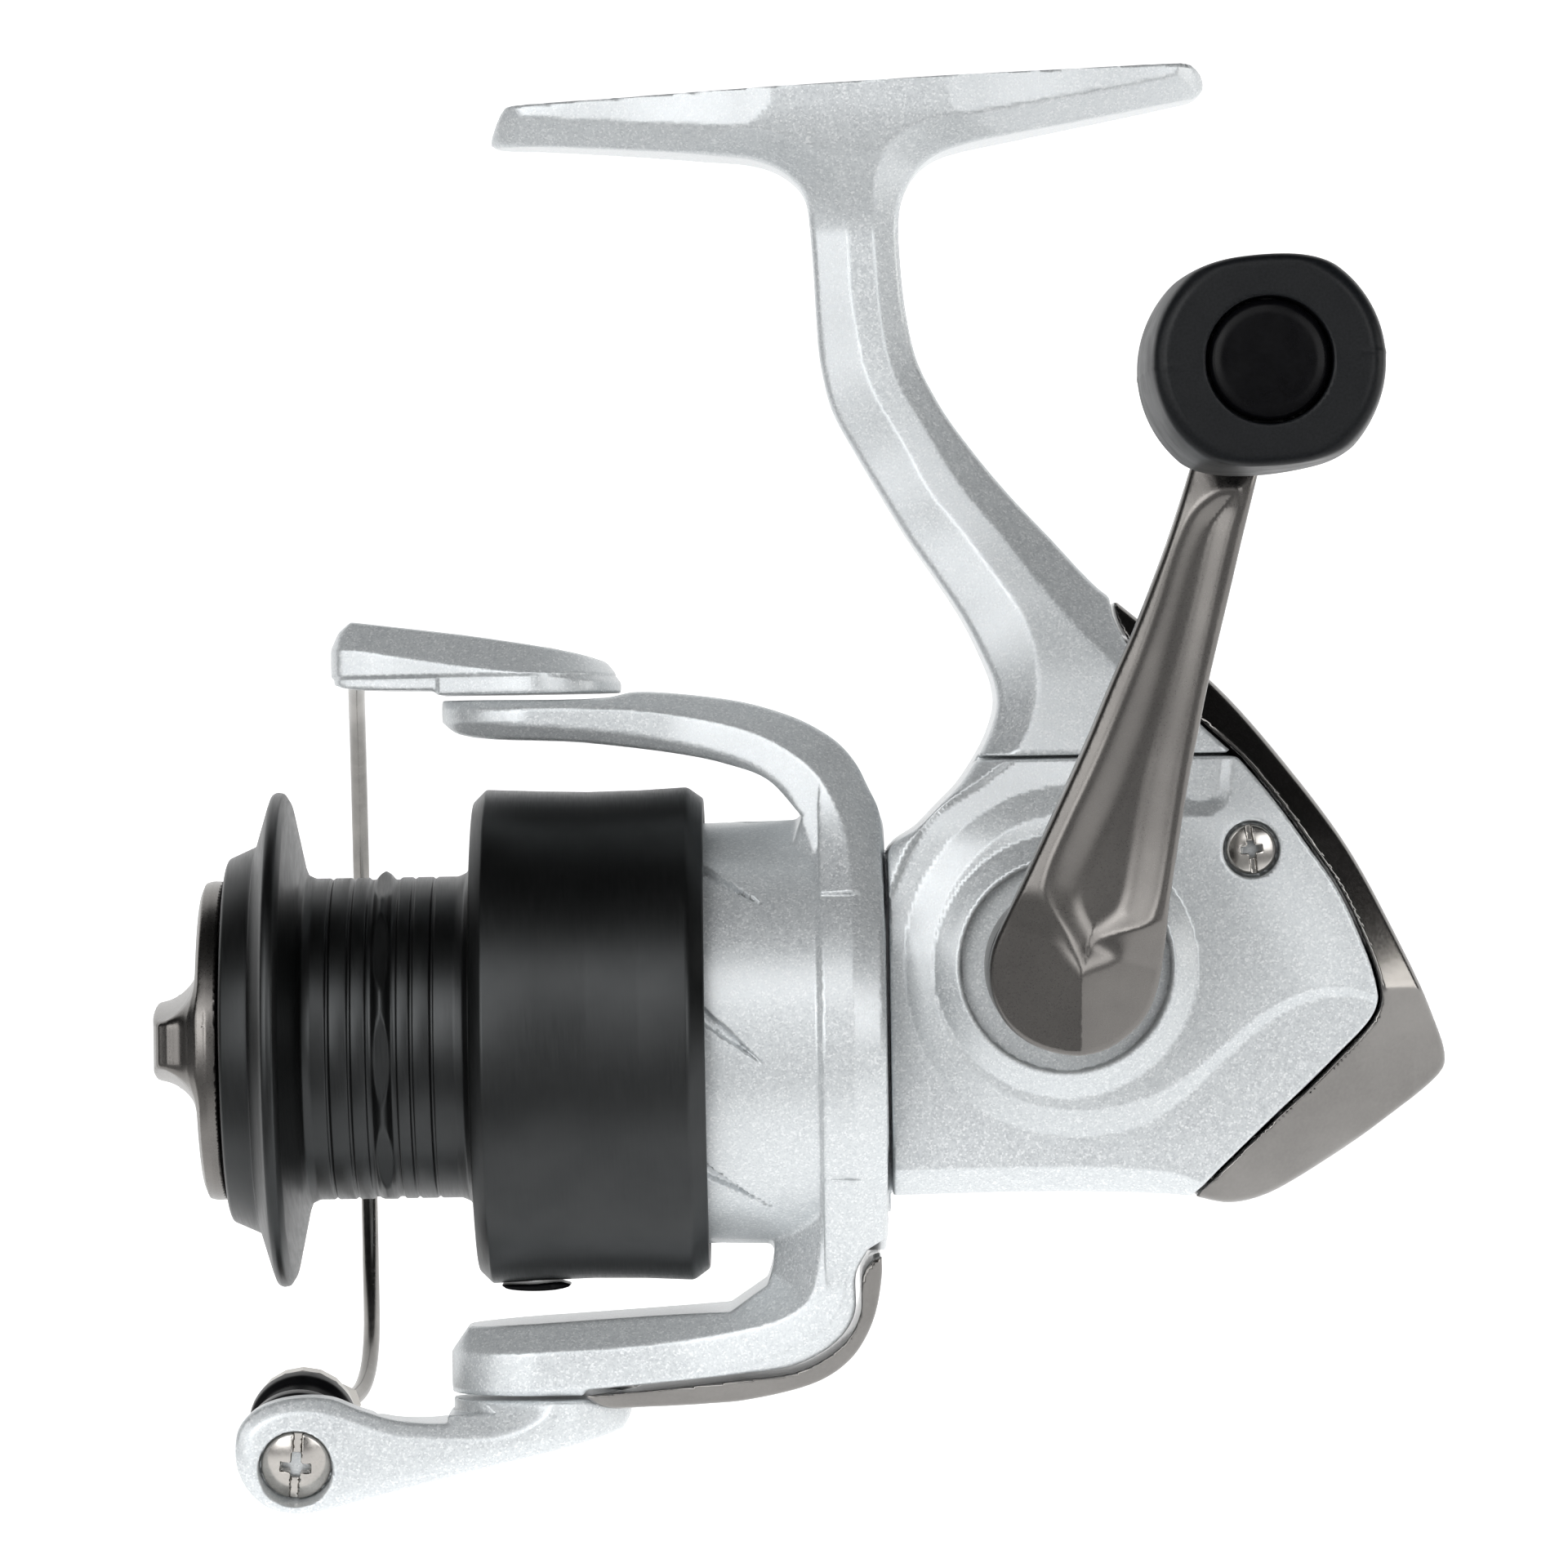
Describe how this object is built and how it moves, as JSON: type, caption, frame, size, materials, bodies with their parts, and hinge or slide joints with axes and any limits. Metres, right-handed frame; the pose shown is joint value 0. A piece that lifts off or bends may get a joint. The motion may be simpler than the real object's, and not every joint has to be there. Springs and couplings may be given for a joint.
{
  "type": "spinning reel",
  "caption": "Open-face fishing reel: foot and stem, geared side handle, rotor with a wire bail that flips, line spool that slides on its shaft, and a front drag knob.",
  "frame": {"origin": "middle of the flat top of the foot, where it rests on the rod", "axes": "+Z out of the foot top towards the rod, -X towards the spool and rod tip, +X to the rear, -Y the handle side"},
  "size_m": [0.12, 0.1194, 0.129],
  "materials": {
    "black_ceramic": "hard black, polished",
    "black_gloss": "gloss black",
    "brass": "machined brass",
    "drag_felt": "oiled drag felt",
    "graphite_anodised": "turned and anodised graphite grey",
    "gunmetal_gloss": "dark plated trim, glossy, warm grey",
    "gunmetal_satin": "satin warm gunmetal anodising",
    "knob_rubber": "satin black soft-touch moulding",
    "nickel_screw": "dark nickel plated screw",
    "pearl_paint": "pearl white-silver metallic paint over a moulded composite body, clear coat",
    "stainless": "polished stainless",
    "zinc_gear": "machined gear metal"
  },
  "bodies": {
    "housing": {"frame_body": "pearl_paint", "side_cover": "pearl_paint", "rear_cover": "gunmetal_gloss", "side_cover_screw_rear": "nickel_screw", "side_cover_screw_front": "nickel_screw", "rear_cover_screw": "nickel_screw", "drive_bearing_near": "stainless", "drive_bearing_far": "stainless", "pinion_bearing": "stainless", "pinion_rear_bushing": "brass", "bearing_retainer": "stainless", "roller_clutch": "black_gloss", "guide_rod_upper": "stainless", "guide_rod_lower": "stainless", "dust_cap": "gunmetal_satin", "oscillation_gear_screw": "nickel_screw"},
    "crank": {"drive_gear": "zinc_gear", "oscillation_pinion": "brass", "handle_collar": "gunmetal_satin", "handle_arm": "gunmetal_satin", "knob_spindle": "stainless"},
    "knob": {"knob_grip": "knob_rubber", "knob_bearing": "stainless", "knob_bushing": "brass", "knob_end_cap": "black_gloss"},
    "oscillation": {"oscillation_gear": "zinc_gear"},
    "rotor": {"rotor": "pearl_paint", "pinion_gear": "brass", "rotor_nut": "stainless", "clutch_sleeve": "stainless", "arm_cover": "gunmetal_gloss", "arm_cover_screw": "nickel_screw", "bail_spring": "stainless", "bail_spring_guide": "stainless", "bail_trip_lever": "black_gloss"},
    "bail": {"bail_lever": "pearl_paint", "line_roller_arm": "pearl_paint", "bail_wire": "stainless", "wire_boss": "gunmetal_satin", "roller_screw": "nickel_screw", "roller_bearing": "stainless", "pivot_screw_upper": "nickel_screw", "pivot_screw_lower": "nickel_screw"},
    "roller": {"line_roller": "black_ceramic"},
    "shaft": {"main_shaft": "stainless", "oscillation_slider": "zinc_gear", "slider_screw": "nickel_screw", "click_gear": "black_gloss", "drag_washer_2": "stainless"},
    "spool_group": {"spool": "graphite_anodised", "line_clip": "black_gloss", "drag_washer_1": "drag_felt", "drag_washer_3": "drag_felt", "drag_washer_4": "stainless", "drag_retainer_clip": "stainless"},
    "drag": {"drag_knob": "gunmetal_satin", "drag_nut": "brass", "drag_spring": "stainless"}
  },
  "joints": [
    {"name": "handle_turn", "type": "hinge", "parent": "housing", "child": "crank", "pos_m": [0.01395, 0, -0.08276], "axis": [0, 1, 0], "continuous": true},
    {"name": "rotor_spin", "type": "hinge", "parent": "housing", "child": "rotor", "pos_m": [-0.00293, 0, -0.08806], "axis": [0.9988, 0, -0.048], "continuous": true},
    {"name": "oscillation_spin", "type": "hinge", "parent": "housing", "child": "oscillation", "pos_m": [0.02754, 0, -0.08952], "axis": [0, 1, 0], "continuous": true},
    {"name": "knob_spin", "type": "hinge", "parent": "crank", "child": "knob", "pos_m": [0.03191, 0, -0.03177], "axis": [0, 1, 0], "continuous": true},
    {"name": "bail_flip", "type": "hinge", "parent": "rotor", "child": "bail", "pos_m": [-0.03509, 0, -0.08652], "axis": [0.048, 0, 0.9988], "range_deg": [0, 115]},
    {"name": "roller_spin", "type": "hinge", "parent": "bail", "child": "roller", "pos_m": [-0.05964, 0, -0.12228], "axis": [0.0116, 0.9703, 0.2416], "continuous": true},
    {"name": "spool_slide", "type": "slide", "parent": "housing", "child": "shaft", "axis": [0.9988, 0, -0.048], "range_m": [-0.008, 0.0045]},
    {"name": "spool_spin", "type": "hinge", "parent": "shaft", "child": "spool_group", "pos_m": [-0.00293, 0, -0.08806], "axis": [0.9988, 0, -0.048], "continuous": true},
    {"name": "drag_turn", "type": "hinge", "parent": "shaft", "child": "drag", "pos_m": [-0.00293, 0, -0.08806], "axis": [0.9988, 0, -0.048], "range_deg": [-450, 450]}
  ],
  "couplings": [
    {"joint": "rotor_spin", "follows": "handle_turn", "ratio": -5.2222},
    {"joint": "oscillation_spin", "follows": "handle_turn", "ratio": -0.5}
  ]
}
